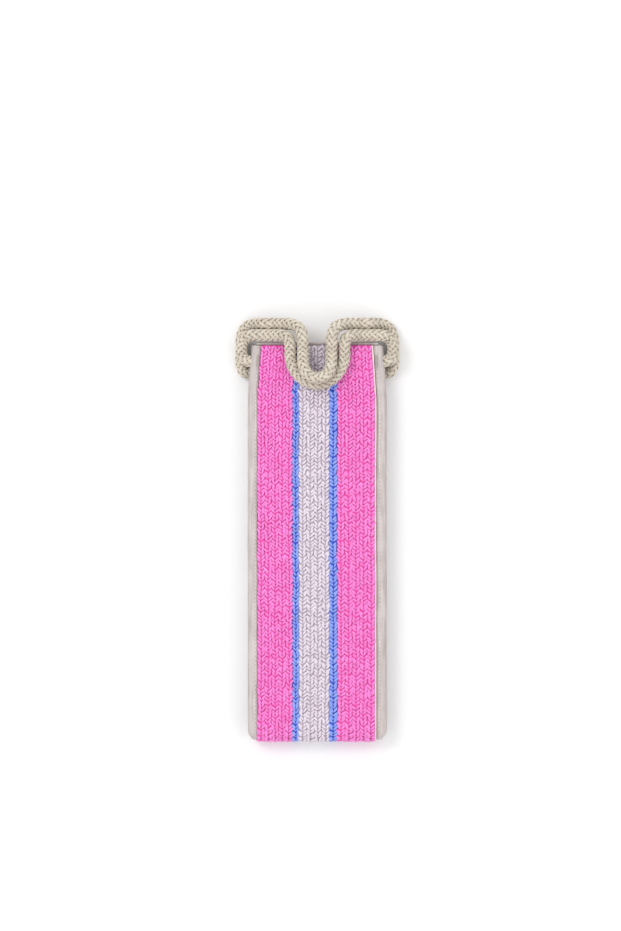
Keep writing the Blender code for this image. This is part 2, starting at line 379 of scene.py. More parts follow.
# across, past the strap's end, and above the table, in millimetres
ropeRoutes = {
    "front": {
        "turn": (43.0, 7.9, 19.6),
        "tail": [
            (49.3, -12.0, 15.075), (52.0, -12.0, 15.075), (55.4, -10.9, 15.075), (57.7, -7.8, 15.1),
            (58.5, -3.2, 15.2), (57.9, 1.6, 15.7), (55.2, 5.6, 16.9), (51.0, 7.6, 18.6), (46.6, 7.9, 19.6),
        ],
        "loop": [
            (-43.0, 7.9, 19.6), (-38.4, 7.9, 19.6), (-32.8, 7.9, 20.6), (-27.4, 7.8, 22.6), (-22.8, 5.6, 24.4),
            (-20.9, 0.6, 25.2), (-20.6, -5.0, 25.1), (-20.3, -11.0, 25.0), (-17.6, -18.8, 25.0),
            (-12.0, -25.4, 25.0), (-4.6, -29.0, 25.0), (4.0, -29.2, 25.0), (11.6, -25.8, 25.0),
            (17.4, -19.2, 25.0), (20.4, -11.4, 25.0), (20.8, -5.0, 25.1), (20.9, 0.6, 25.2), (22.8, 5.6, 24.4),
            (27.4, 7.8, 22.6), (32.8, 7.9, 20.6), (38.4, 7.9, 19.6), (43.0, 7.9, 19.6),
        ],
    },
    "back": {
        "turn": (34.5, 16.8, 16.2),
        "tail": [
            (49.3, -21.0, 4.925), (52.0, -21.0, 4.925), (55.9, -20.1, 4.925), (58.2, -17.0, 4.925),
            (58.9, -11.5, 4.93), (58.8, -3.0, 4.95), (58.8, 4.0, 5.0), (57.6, 10.2, 5.3), (54.2, 14.8, 6.5),
            (49.4, 16.8, 8.9), (45.0, 17.0, 11.8), (41.2, 16.9, 14.8), (37.6, 16.8, 16.2),
        ],
        "loop": [
            (-34.5, 16.8, 16.2), (-31.2, 16.8, 16.2), (-25.4, 16.7, 17.9), (-19.6, 16.2, 20.9),
            (-14.2, 13.4, 24.4), (-11.7, 8.0, 26.4), (-11.2, 2.0, 27.0), (-11.0, -4.2, 27.1),
            (-10.9, -11.0, 29.4), (-10.2, -17.2, 32.4), (-6.9, -22.8, 34.0), (0.0, -25.4, 34.3),
            (6.9, -22.8, 34.0), (10.1, -17.2, 32.4), (10.7, -11.0, 29.4), (10.9, -4.2, 27.1), (11.1, 2.0, 27.0),
            (11.6, 8.0, 26.4), (14.1, 13.4, 24.4), (19.6, 16.2, 20.9), (25.4, 16.7, 17.9), (31.2, 16.8, 16.2),
            (34.5, 16.8, 16.2),
        ],
    },
}


def routePoints(route):
    mirrored = [(-x, y, z) for x, y, z in route["tail"]]
    whole = mirrored + route["loop"] + route["tail"][::-1]
    return [Vector((x, cloth["endY"] * 1000 + y, z)) / 1000 for x, y, z in whole]


def smoothRoute(points, step):
    # a smooth curve through the points, sampled evenly
    padded = [2 * points[0] - points[1], *points, 2 * points[-1] - points[-2]]
    samples = ropeLook["routeSamples"]
    dense = []
    for a, b, c, d in zip(padded, padded[1:], padded[2:], padded[3:]):
        slope, curve, twist = c - a, 2 * a - 5 * b + 4 * c - d, 3 * b - a - 3 * c + d
        for i in range(samples):
            t = i / samples
            dense.append(0.5 * (2 * b + slope * t + curve * t**2 + twist * t**3))
    dense.append(points[-1])
    places = np.array(dense)
    run = np.concatenate([[0.0], np.cumsum(np.linalg.norm(np.diff(places, axis=0), axis=1))])
    at = np.linspace(0, run[-1], round(run[-1] / step) + 1)
    return at, np.column_stack([np.interp(at, run, places[:, k]) for k in range(3)])


def routeFrames(line):
    # a side and an up direction at each point, carried along without twisting
    tangents = np.gradient(line, axis=0)
    tangents /= np.linalg.norm(tangents, axis=1)[:, None]
    side = np.cross(tangents[0], (0, 0, 1))
    side /= np.linalg.norm(side)
    sides = []
    for tangent in tangents:
        side = side - tangent * np.dot(side, tangent)
        side /= np.linalg.norm(side)
        sides.append(side)
    sides = np.array(sides)
    return sides, np.cross(tangents, sides)


def braidRings(line, sides, ups, run):
    # one list of rings for each strand, wound round the line, passing over two and under two
    look = ropeLook
    middle = look["diameter"] / 2 - look["strandThick"] - look["weave"]
    out = np.minimum(np.minimum(run, run[-1] - run) / look["sewnLong"], 1.0)
    flat = look["sewnFlat"] + (1 - look["sewnFlat"]) * out * out * (3 - 2 * out)
    crossing = look["strands"] * 2 * run / look["pitch"]
    strands = []
    for way in (1, -1):
        for number in range(look["strands"]):
            turn = way * 2 * math.pi * run / look["pitch"] + 2 * math.pi * number / look["strands"]
            wave = way * np.cos(math.pi / 2 * (crossing + way * (2 * number - 0.5)))
            reach = middle + look["weave"] * np.tanh(2.0 * wave) / math.tanh(2.0)
            radial = sides * np.cos(turn)[:, None] + ups * np.sin(turn)[:, None]
            across = -sides * np.sin(turn)[:, None] + ups * np.cos(turn)[:, None]
            rings = []
            for swing in swings(look["sides"]):
                thick, wide = look["strandThick"] * math.cos(swing), look["strandWide"] * math.sin(swing)
                rings.append(radial * reach[:, None] + radial * thick + across * wide)
            rings = np.array(rings)
            rings[:, :, 2] *= flat[None, :]
            label = number if way > 0 else number + look["strands"]
            strands.append((label, np.transpose(rings + line[None], (1, 0, 2))))
    return strands


def coreRings(line, sides, ups):
    # the dark middle that shows between the strands, numbered -1, which carries painted shade
    radius = ropeLook["diameter"] * ropeLook["coreShare"]
    rings = []
    for p, s, u in zip(line, sides, ups):
        rings.append([p + (s * math.cos(a) + u * math.sin(a)) * radius for a in swings(ropeLook["sides"])])
    rings = np.array(rings)
    rings[:3] = rings[3]  # its first end stays a little inside the sewn end
    return -1, rings


def braidMesh(name, strands, first, last, run):
    # strandPlace holds how far out a point is on its strand, its place along the rope and the strand's number
    places, faces, marks = [], [], []
    for number, rings in strands:
        addTube(places, faces, [list(map(tuple, ring)) for ring in rings[first : last + 1]])
        for along in run[first : last + 1]:
            for a in swings(ropeLook["sides"]):
                if number < 0:
                    marks.append((-1.0, along, number))
                else:
                    marks.append((math.cos(a), along + ropeLook["strandSlant"] * math.sin(a), number))
    mesh = outward(meshFrom(name, places, faces))
    kept = mesh.attributes.new("strandPlace", "FLOAT_VECTOR", "POINT")
    kept.data.foreach_set("vector", np.array(marks, np.float32).ravel())
    return smoothed(mesh, 70)


def makeRope(half, finish):
    route = ropeRoutes[half]
    run, line = smoothRoute(routePoints(route), ropeLook["ringStep"])
    sides, ups = routeFrames(line)
    strands = [*braidRings(line, sides, ups, run), coreRings(line, sides, ups)]
    turnX, turnY, turnZ = (value / 1000 for value in route["turn"])
    middle = len(line) // 2
    leftTurn = int(np.argmin(np.abs(line[:middle, 0] + turnX)))
    rightTurn = middle + int(np.argmin(np.abs(line[middle:, 0] - turnX)))
    span = round(ropeLook["turnHalf"] / ropeLook["ringStep"])
    cuts = [0, leftTurn - span, leftTurn + span, rightTurn - span, rightTurn + span, len(line) - 1]
    kinds = ["left_tail", "left_turn", "handle", "right_turn", "right_tail"]
    made = {}
    for kind, first, last in zip(kinds, cuts, cuts[1:]):
        name = f"{half}_{kind}_braid"
        made[kind] = newObject(name, braidMesh(name, strands, first, last, run), finish)
    body, handle = half + "_half", half + "_handle"
    for side, sign in (("left", -1), ("right", 1)):
        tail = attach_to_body(made[side + "_tail"], body)
        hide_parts(f"{half}_{side}_rope_tail")
        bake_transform(made[side + "_turn"])
    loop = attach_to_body(made["handle"], handle)
    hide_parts(half + "_rope_loop")


# each material has a lit tone and a darker tone of painted shade, used in gaps, hollows and sides turned from
# the light; random patches and the tape's streaks also lean towards the darker tone
colours = {
    "pinkLight": rgb(1.0, 0.300, 0.760), "pinkDeep": rgb(0.86, 0.110, 0.48),
    "blueLight": rgb(0.34, 0.47, 1.0), "blueDeep": rgb(0.06, 0.11, 0.62),
    "greyLight": rgb(0.86, 0.78, 0.87), "greyDeep": rgb(0.58, 0.49, 0.57),
    "tapeLight": rgb(0.68, 0.62, 0.61), "tapeDeep": rgb(0.42, 0.37, 0.35),
    "ropeLight": rgb(0.76, 0.69, 0.59), "ropeDeep": rgb(0.22, 0.17, 0.11),
    "loofahLight": rgb(0.78, 0.62, 0.37), "loofahDeep": rgb(0.38, 0.25, 0.11),
    "thread": rgb(0.43, 0.39, 0.36), "selvedge": rgb(0.90, 0.80, 0.74),
}
# name, roughness, sheen and specular level
finishes = {
    "yarn": ("chenilleYarn", 0.95, 0.35, 0.2),
    "backing": ("knitBacking", 0.95, 0.2, 0.2),
    "tape": ("edgeTwill", 0.9, 0.12, 0.2),
    "rope": ("cottonBraid", 0.92, 0.15, 0.2),
    "loofah": ("loofahMat", 0.85, 0.0, 0.2),
    "fibre": ("loofahStrand", 0.7, 0.0, 0.35),
    "thread": ("seamThread", 0.8, 0.1, 0.2),
}
sheenRoughness = 0.45


def makeMaterial(name, roughness, sheen, specular, build):
    made = bpy.data.materials.new(name)
    made.use_nodes = True
    tree = made.node_tree
    shader = tree.nodes["Principled BSDF"]
    shader.inputs["Roughness"].default_value = roughness
    shader.inputs["Sheen Weight"].default_value = sheen
    shader.inputs["Sheen Roughness"].default_value = sheenRoughness
    shader.inputs["Specular IOR Level"].default_value = specular
    colour, normal = build(nodeMaker(tree))
    tree.links.new(colour, shader.inputs["Base Color"])
    tree.links.new(normal, shader.inputs["Normal"])
    return made


def waleRamp(add, tone, wale):
    # the colour of a wale, in its lit tone or in its darker tone of painted shade
    ramp = add("ShaderNodeValToRGB", {"Fac": wale})
    ramp.color_ramp.interpolation = "CONSTANT"
    points = ramp.color_ramp.elements
    while len(points) < len(knit["bands"]):
        points.new(0.5)
    first = 0
    for point, (colour, left, width, wales) in zip(points, knit["bands"]):
        point.position = first / knit["wales"]
        point.color = colours[colour + tone]
        first += wales
    return ramp.outputs["Color"]


def makeMaterials():
    fuzz = makeYarnFuzz()

    def fuzzed(add, place, light, shadeTone, depth, fibreScale, strength=0.5, patchScale=90.0):
        inputs = {"Vector": place, "Light": light, "Deep": shadeTone, "Depth": depth, "Fibre Scale": fibreScale}
        inputs |= {"Strength": strength, "Patch Scale": patchScale}
        made = add("ShaderNodeGroup", inputs, node_tree=fuzz)
        return made.outputs["Color"], made.outputs["Normal"]

    def depthOf(add, place, low, high):
        return ranged(add, add("ShaderNodeSeparateXYZ", {0: place}).outputs["Z"], low, high, 1.0, 0.0)

    def yarn(add):
        place, wale = attribute(add, "strapPlace"), attribute(add, "wale", "Fac")
        light, shadeTone = waleRamp(add, "Light", wale), waleRamp(add, "Deep", wale)
        # painted shade: loops are darker the further below the striped side they lie, between their neighbours
        return fuzzed(add, place, light, shadeTone, depthOf(add, place, -0.0030, -0.0006), 2600.0, 0.55)

    def backing(add):
        place, wale = attribute(add, "strapPlace"), attribute(add, "wale", "Fac")
        across = add("ShaderNodeSeparateXYZ", {0: place}).outputs["X"]
        edge = maths(add, "GREATER_THAN", across, cloth["faceHalf"] - knit["selvedge"] - 0.0001)
        # painted shade: the cloth under the loops, seen in the gaps between them, takes its wale's darker tone;
        # the pale selvedge on the right is the cloth's own colour
        shadeTone = waleRamp(add, "Deep", wale)
        return fuzzed(add, place, mixedColour(add, edge, shadeTone, colours["selvedge"]), shadeTone, 0.0, 1800.0)

    def tape(add):
        # a fine diagonal twill, streaked along the tape, with painted shadow along its inner edge under the
        # knitted face, and darker at its outer edge
        place = attribute(add, "strapPlace")
        turned = add("ShaderNodeMapping", {"Vector": place, "Rotation": (0, 0, math.radians(38))}).outputs[0]
        ribs = {"Vector": turned, "Scale": 240.0, "Distortion": 1.2, "Detail": 1.0}
        rib = add("ShaderNodeTexWave", ribs, wave_type="BANDS").outputs["Fac"]
        streaks = add("ShaderNodeMapping", {"Vector": place, "Scale": (700, 45, 700)}).outputs[0]
        grain = ranged(add, speckled(add, streaks, 1.0, 2.0), 0.35, 0.75, 0.0, 0.6)
        across = maths(add, "ABSOLUTE", add("ShaderNodeSeparateXYZ", {0: place}).outputs["X"])
        inner, outer = cloth["faceHalf"], cloth["tapeHalf"]
        # painted shadow where the knitted face overhangs the tape's inner edge
        faceShadow = ranged(add, across, inner, inner + 0.003, 0.45, 0.0)
        rim = ranged(add, across, outer - 0.0022, outer, 0.0, 0.4)
        shade = maths(add, "ADD", maths(add, "ADD", grain, faceShadow), rim)
        colour, soft = fuzzed(add, place, colours["tapeLight"], colours["tapeDeep"], shade, 3000.0, 0.25)
        return colour, bumped(add, rib, 0.35, 0.0002, soft)

    def rope(add):
        # twisted plies along each strand, with painted shade on each strand's inner side and on the dark core
        # between the strands
        parts = add("ShaderNodeSeparateXYZ", {0: attribute(add, "strandPlace")}).outputs
        ply = maths(add, "SINE", maths(add, "MULTIPLY", parts["Y"], 5200.0))
        # painted shade: darker towards the inside of each strand, and darkest on the core
        shade = maths(add, "MULTIPLY", ranged(add, parts["X"], -0.3, 0.6, 1.0, 0.0), 0.75)
        light, shadeTone = colours["ropeLight"], colours["ropeDeep"]
        colour, soft = fuzzed(add, objectPlace(add), light, shadeTone, shade, 2800.0, 0.4, 160.0)
        return colour, bumped(add, ply, 0.3, 0.00012, soft)

    def loofahMat(add):
        place = attribute(add, "strapPlace")
        stretched = add("ShaderNodeMapping", {"Vector": place, "Scale": (1.0, 0.35, 1.0)}).outputs[0]
        netting = {"Vector": stretched, "Scale": 420.0}
        cells = add("ShaderNodeTexVoronoi", netting, feature="DISTANCE_TO_EDGE").outputs["Distance"]
        # painted shade in the holes of the net: darker towards the middle of each cell
        depth = ranged(add, cells, 0.0, 0.25, 0.0, 0.7)
        colour, soft = fuzzed(add, place, colours["loofahLight"], colours["loofahDeep"], depth, 1500.0, 0.6)
        return colour, bumped(add, cells, 0.8, 0.0006, soft, invert=True)

    def fibre(add):
        # painted shade: strands that lie deeper in the mat are darker
        place = attribute(add, "strapPlace")
        lowest, highest = cloth["padThick"] + 0.0006, cloth["padThick"] * 0.6
        depth = depthOf(add, place, -cloth["padTop"] - lowest, -cloth["padTop"] - highest)
        shade = maths(add, "MULTIPLY", maths(add, "SUBTRACT", 1.0, depth), 0.5)
        return fuzzed(add, place, colours["loofahLight"], colours["loofahDeep"], shade, 1800.0)

    def thread(add):
        return fuzzed(add, objectPlace(add), colours["thread"], colours["tapeDeep"], 0.0, 4000.0)

    builds = {"yarn": yarn, "backing": backing, "tape": tape, "rope": rope, "loofah": loofahMat}
    builds |= {"fibre": fibre, "thread": thread}
    return {key: makeMaterial(*finishes[key], build) for key, build in builds.items()}


def geometryTree(name, inputs):
    # inputs is a dictionary of each named input's kind
    tree = bpy.data.node_groups.new(name, "GeometryNodeTree")
    tree.interface.new_socket("Geometry", in_out="INPUT", socket_type="NodeSocketGeometry")
    sockets = {}
    for label, kind in inputs.items():
        socket = tree.interface.new_socket(label, in_out="INPUT", socket_type="NodeSocket" + kind)
        sockets[label] = socket.identifier
    tree.interface.new_socket("Geometry", in_out="OUTPUT", socket_type="NodeSocketGeometry")
    add = nodeMaker(tree)
    return tree, add, add("NodeGroupInput").outputs, add("NodeGroupOutput").inputs, sockets


def drawn(add, low, high, seed, number=None):
    # a random value between low and high, or a random vector if they are vectors
    vector = isinstance(low, tuple)
    inputs = {"Seed": seed, **({0: low, 1: high} if vector else {2: low, 3: high})}
    if number is not None:
        inputs["ID"] = number
    made = add("FunctionNodeRandomValue", inputs, data_type="FLOAT_VECTOR" if vector else "FLOAT")
    return made.outputs[0 if vector else 1]


def endTree(tree, add, geometry, finish, out):
    real = add("GeometryNodeRealizeInstances", {0: geometry}).outputs[0]
    finished = add("GeometryNodeSetMaterial", {"Geometry": real, "Material": finish})
    tree.links.new(finished.outputs[0], out["Geometry"])


def grown(name, seedMesh, tree, sockets, values):
    # runs a tree on a seed mesh and keeps its result as a plain mesh
    carrier = newObject(name + "_seed", seedMesh)
    modifier = carrier.modifiers.new("grow", "NODES")
    modifier.node_group = tree
    for label, value in values.items():
        modifier[sockets[label]] = value
    depsgraph = bpy.context.evaluated_depsgraph_get()
    mesh = bpy.data.meshes.new_from_object(carrier.evaluated_get(depsgraph), depsgraph=depsgraph)
    mesh.name = name
    bpy.data.objects.remove(carrier)
    return mesh


knit = {
    # colour, left side, width and number of wales of each band, in metres
    "bands": [
        ("pink", -0.0458, 0.0268, 5),
        ("blue", -0.0190, 0.0049, 1),
        ("grey", -0.0141, 0.0233, 4),
        ("blue", 0.0092, 0.0062, 1),
        ("pink", 0.0154, 0.0289, 5),
    ],
    "wales": 16,
    "pitch": 0.00285,  # of the rows
    "seed": 7,
    "firstPlace": 0.0021,  # no loop's middle is nearer than this to the back half's end
    "lastPlace": 0.0017,  # or than this to the front half's end
    # one loop; sizes across are shares of the wale, and sizes along are shares of the pitch
    "armIn": 0.07,  # how far from the wale's middle an arm begins
    "lean": 0.40,  # how much further out it ends
    "armCurve": 0.85,
    "armStart": -0.72,
    "armLong": 1.30,
    "armTilt": 0.036,
    "armSteps": 5,
    "armSides": 5,
    "yarnWide": 0.205,  # radius
    "yarnThick": 0.00100,
    "level": -0.0014,  # of the yarn's middle below the striped side
    "arch": 0.00085,
    # how the loops differ from each other, lowest and highest
    "wobble": ((-0.00026, -0.00040, -0.00026), (0.00026, 0.00040, 0.00016)),
    "sizes": ((0.86, 0.90, 0.82), (1.12, 1.16, 1.16)),
    "turns": ((-0.16, -0.16, -0.26), (0.16, 0.16, 0.26)),
    "drift": 0.0011,  # of a wale's loops to one side, row by row
    "press": 0.0004,  # loops that stand above this depth are pushed back towards it
    "pressShare": 0.45,
    "bend": 0.0020,  # half of the length over which the knit bends at a fold line
    # the cloth under the loops
    "backingTop": 0.0020,
    "backingColumns": 72,
    "backingRow": 0.0021,
    "ridge": 0.00045,
    "selvedge": 0.0012,  # width of the pale woven edge on the right side
    "selvedgeColumns": (0.0011, 0.0008, 0.0004, 0.0),
    "selvedgeHigh": 0.0012,
}


def stitchMesh():
    # one knitted loop: two plump arms that run out from near the wale's middle
    places, faces = [], []
    for sign in (-1, 1):
        rings = []
        for k in range(knit["armSteps"] + 1):
            t = k / knit["armSteps"]
            x = sign * (knit["armIn"] + knit["lean"] * t ** knit["armCurve"])
            y = knit["armStart"] + knit["armLong"] * t
            z = knit["level"] + knit["arch"] * (math.sin(math.pi * t) - 0.35 + 0.25 * (1 - t))
            swell = plumpness(t, 0.07, 0.45)
            wide, thick = knit["yarnWide"] * swell, knit["yarnThick"] * swell
            rings.append(oval(x, y, z, wide, thick, swings(knit["armSides"], 0.3), sign * knit["armTilt"]))
        addTube(places, faces, rings)
    return smoothed(outward(meshFrom("stitch", places, faces)))


def knitBandTree():
    # the loops of one colour band, wale by wale
    inputs = {"Left": "Float", "Width": "Float", "Wales": "Int", "First Wale": "Int", "First Row": "Int"}
    inputs |= {"Rows": "Int", "Pitch": "Float", "Seed": "Int", "First Place": "Float", "Last Place": "Float"}
    tree, add, given, out, sockets = geometryTree("knitBand", inputs)
    seed, pitch = given["Seed"], given["Pitch"]
    index = add("GeometryNodeInputIndex").outputs[0]
    wale = maths(add, "FLOOR", maths(add, "DIVIDE", index, given["Rows"]))
    waleNumber = maths(add, "ADD", wale, given["First Wale"])
    waleWide = maths(add, "DIVIDE", given["Width"], given["Wales"])
    row = maths(add, "ADD", maths(add, "MODULO", index, given["Rows"]), given["First Row"])

    patch = {"X": maths(add, "MULTIPLY", waleNumber, 3.7), "Y": maths(add, "MULTIPLY", row, 0.13)}
    patchPlace = add("ShaderNodeCombineXYZ", patch).outputs[0]
    patchNoise = add("ShaderNodeTexNoise", {"Vector": patchPlace, "Scale": 1.0}).outputs["Fac"]
    drift = maths(add, "MULTIPLY", maths(add, "SUBTRACT", patchNoise, 0.5), knit["drift"])
    fromLeft = maths(add, "MULTIPLY", maths(add, "ADD", wale, 0.5), waleWide)
    x = maths(add, "ADD", maths(add, "ADD", given["Left"], fromLeft), drift)
    phase = drawn(add, -0.5, 0.5, seed, waleNumber)
    y = maths(add, "MULTIPLY", maths(add, "ADD", maths(add, "ADD", row, 0.5), phase), pitch)
    y = maths(add, "MINIMUM", maths(add, "MAXIMUM", y, given["First Place"]), given["Last Place"])
    straight = add("ShaderNodeCombineXYZ", {"X": x, "Y": y}).outputs[0]
    moved = {0: straight, 1: drawn(add, *knit["wobble"], seed)}
    place = add("ShaderNodeVectorMath", moved, operation="ADD").outputs[0]

    count = maths(add, "MULTIPLY", given["Wales"], given["Rows"])
    points = add("GeometryNodePoints", {"Count": count, "Position": place}).outputs[0]
    whole = add("ShaderNodeCombineXYZ", {"X": waleWide, "Y": pitch, "Z": 1.0}).outputs[0]
    size = {0: drawn(add, *knit["sizes"], maths(add, "ADD", seed, 5)), 1: whole}
    scale = add("ShaderNodeVectorMath", size, operation="MULTIPLY").outputs[0]
    spin = drawn(add, *knit["turns"], maths(add, "ADD", seed, 9))
    loops = {"Points": points, "Instance": given["Geometry"], "Rotation": spin, "Scale": scale}
    laid = add("GeometryNodeInstanceOnPoints", loops).outputs[0]
    mark = maths(add, "DIVIDE", maths(add, "ADD", waleNumber, 0.5), float(knit["wales"]))
    marks = {"Geometry": laid, "Name": "wale", "Value": mark}
    marked = add("GeometryNodeStoreNamedAttribute", marks, data_type="FLOAT", domain="INSTANCE")
    tree.links.new(marked.outputs[0], out["Geometry"])
    return tree


def knitFaceTree():
    # all five colour bands side by side
    band = knitBandTree()
    inputs = {"First Row": "Int", "Rows": "Int", "Pitch": "Float", "Seed": "Int", "Finish": "Material"}
    inputs |= {"First Place": "Float", "Last Place": "Float"}
    tree, add, given, out, sockets = geometryTree("knitFace", inputs)
    joined = add("GeometryNodeJoinGeometry")
    shared = {label: given[label] for label in ("Geometry", *inputs) if label != "Finish"}
    firstWale = 0
    for colour, left, width, wales in knit["bands"]:
        own = {"Left": left, "Width": width, "Wales": wales, "First Wale": firstWale}
        piece = add("GeometryNodeGroup", {**own, **shared}, node_tree=band)
        tree.links.new(piece.outputs[0], joined.inputs[0])
        firstWale += wales
    endTree(tree, add, joined.outputs[0], given["Finish"], out)
    return tree, sockets


def waleAt(across):
    # number of the wale, as a share of all, and how far from its middle, at a place across the face
    first = 0
    for colour, left, width, wales in knit["bands"]:
        if across < left + width or first + wales == knit["wales"]:
            place = min(max((across - left) / width * wales, 0.0), wales - 0.001)
            return (first + int(place) + 0.5) / knit["wales"], abs(place - int(place) - 0.5) * 2
        first += wales


def backingMesh(name, start, end):
    # the cloth that the loops stand on, ribbed like them, as a thin closed slab
    half, steps = cloth["faceHalf"], knit["backingColumns"]
    columns = [-half + 2 * half * i / steps for i in range(steps)]
    columns += [half - inset for inset in knit["selvedgeColumns"]]
    rows = max(2, round((end - start) / knit["backingRow"]))

    def top(x, along):
        ridge = knit["ridge"] * (1 - waleAt(x)[1] ** 2)
        if x > half - knit["selvedge"]:
            ridge = knit["selvedgeHigh"] + 0.0002 * math.cos(2 * math.pi * along / knit["pitch"])
        return -knit["backingTop"] + ridge + 0.00012 * noise.noise(Vector((x * 400, along * 400, 0)))

    mesh = slab(name, columns, start, end, rows, (top, lambda x, along: -cloth["faceThick"]))
    kept = mesh.attributes.new("wale", "FLOAT", "POINT")
    kept.data.foreach_set("value", [waleAt(x)[0] for x in columns] * (2 * (rows + 1)))
    return mesh


def pressed(mesh):
    # loops that stand above the striped side are pushed back to it, as they lie on a table or in a stack
    for vertex in mesh.vertices:
        if vertex.co.z > -knit["press"]:
            vertex.co.z = (vertex.co.z + knit["press"]) * knit["pressShare"] - knit["press"]
    return mesh


def makeKnit(materials):
    tree, sockets = knitFaceTree()
    foldPieces = []
    for index, (name, start, end) in enumerate(stretches()):
        firstRow, lastRow = math.ceil(start / knit["pitch"]), math.ceil(end / knit["pitch"])
        values = {
            "First Row": firstRow,
            "Rows": lastRow - firstRow,
            "Pitch": knit["pitch"],
            "Seed": knit["seed"],
            "First Place": knit["firstPlace"],
            "Last Place": wholeLong - knit["lastPlace"],
            "Finish": materials["yarn"],
        }
        loopMesh = wrapped(pressed(grown(name + "_knit_loops", stitchMesh(), tree, sockets, values)))
        backing = smoothed(wrapped(backingMesh(name + "_knit_cloth", start, end)), 50)
        loops = newObject(name + "_knit_loops", loopMesh)
        under = newObject(name + "_knit_cloth", backing, materials["backing"])
        for made in (loops, under):
            attach(made, index)
        if hasNode(index):
            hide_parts(name + "_striped_face")
        if name in ("back", "front"):
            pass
        else:
            foldPieces += [loops, under]
    print("stage: knitted face")


tapeLook = {
    # across from the inner side and height from the upper side, as shares of width and thickness
    "section": [
        (0.00, -0.10), (0.05, -0.02), (0.22, 0.0), (0.45, -0.01), (0.66, -0.04), (0.82, -0.11), (0.93, -0.24),
        (0.99, -0.38), (1.00, -0.50), (0.99, -0.62), (0.93, -0.76), (0.82, -0.89), (0.66, -0.96), (0.45, -0.99),
        (0.22, -1.0), (0.05, -0.98), (0.00, -0.90),
    ],
    "ringStep": 0.0010,
    "ripple": 0.00022,
    "seamAcross": 0.0019,  # the seam's distance from the tape's inner edge
    "seamWide": 0.0009,
    "seamDeep": 0.00028,
    "stitchPitch": 0.0032,
    "stitchLong": 0.0023,
    "stitchWide": 0.00021,
    "stitchThick": 0.00020,
    "stitchSunk": 0.00022,
    "stitchTurn": 0.12,
    "seed": 11,
    "ropeExits": {"back": 0.0210, "front": 0.0120},  # along each half, from its end
    "ropeSwell": 0.0011,  # how far the tape stands up on each side over a sewn rope end
    "ropeSwellLong": 0.0062,
    "bend": 0.00135,  # half of the length over which the tape bends at a fold line
}


def tapeRing(along, side):
    look = tapeLook
    inner = cloth["faceHalf"] + cloth["gap"]
    outer = cloth["tapeHalf"] - cloth["cornerPull"] * foldShare(along)
    thick = crushedTo(cloth["tapeThick"], cloth["crushedTape"], along)
    exits = (look["ropeExits"]["back"], wholeLong - look["ropeExits"]["front"])
    fromRope = min(abs(along - place) for place in exits)
    swell = look["ropeSwell"] * math.exp(-((fromRope / look["ropeSwellLong"]) ** 2))
    pucker = look["seamDeep"] * (0.7 - 0.3 * math.cos(2 * math.pi * along / look["stitchPitch"]))
    ring = []
    for share, height in look["section"]:
        x = inner + (outer - inner) * share
        ripple = look["ripple"] * noise.noise(Vector((x * 160 * side, along * 75, height * 2)))
        seam = pucker * math.exp(-(((x - inner - look["seamAcross"]) / look["seamWide"]) ** 2))
        up = 1 if height > -0.5 else -1
        lift = up * (swell * math.sin(math.pi * min(1.0, share * 1.05)) - seam) + ripple
        ring.append((side * (x + ripple * 0.8 * share), along, -cloth["tapeTop"] + height * thick + lift))
    return ring if side > 0 else ring[::-1]


def threadMesh():
    # one stitch of sewing thread, rounded at both ends
    rings = []
    for k in range(5):
        t = k / 4
        swell = plumpness(t, 0.12, 0.35)
        wide, thick = tapeLook["stitchWide"] * swell, tapeLook["stitchThick"] * swell
        lift = 0.00012 * math.sin(math.pi * t)
        rings.append(oval(0.0, (t - 0.5) * tapeLook["stitchLong"], lift, wide, thick, swings(6)))
    return smoothed(outward(meshFrom("thread_stitch", *tube(rings))))


def seamTree():
    inputs = {"Start": "Float", "Pitch": "Float", "Stitches": "Int", "Across": "Float", "Height": "Float"}
    inputs |= {"Seed": "Int", "Finish": "Material"}
    tree, add, given, out, sockets = geometryTree("seam", inputs)
    index = add("GeometryNodeInputIndex").outputs[0]
    run = maths(add, "MULTIPLY", maths(add, "ADD", index, 0.5), given["Pitch"])
    y = maths(add, "ADD", given["Start"], run)
    place = add("ShaderNodeCombineXYZ", {"X": given["Across"], "Y": y, "Z": given["Height"]}).outputs[0]
    points = add("GeometryNodePoints", {"Count": given["Stitches"], "Position": place}).outputs[0]
    turn = tapeLook["stitchTurn"]
    spin = drawn(add, (0, 0, -turn), (0, 0, turn), given["Seed"])
    stitches = {"Points": points, "Instance": given["Geometry"], "Rotation": spin}
    laid = add("GeometryNodeInstanceOnPoints", stitches).outputs[0]
    endTree(tree, add, laid, given["Finish"], out)
    return tree, sockets


def joinedMesh(name, meshes):
    bm = bmesh.new()
    for mesh in meshes:
        bm.from_mesh(mesh)
    made = bpy.data.meshes.new(name)
    bm.to_mesh(made)
    bm.free()
    made.materials.append(meshes[0].materials[0])
    return smoothed(made)


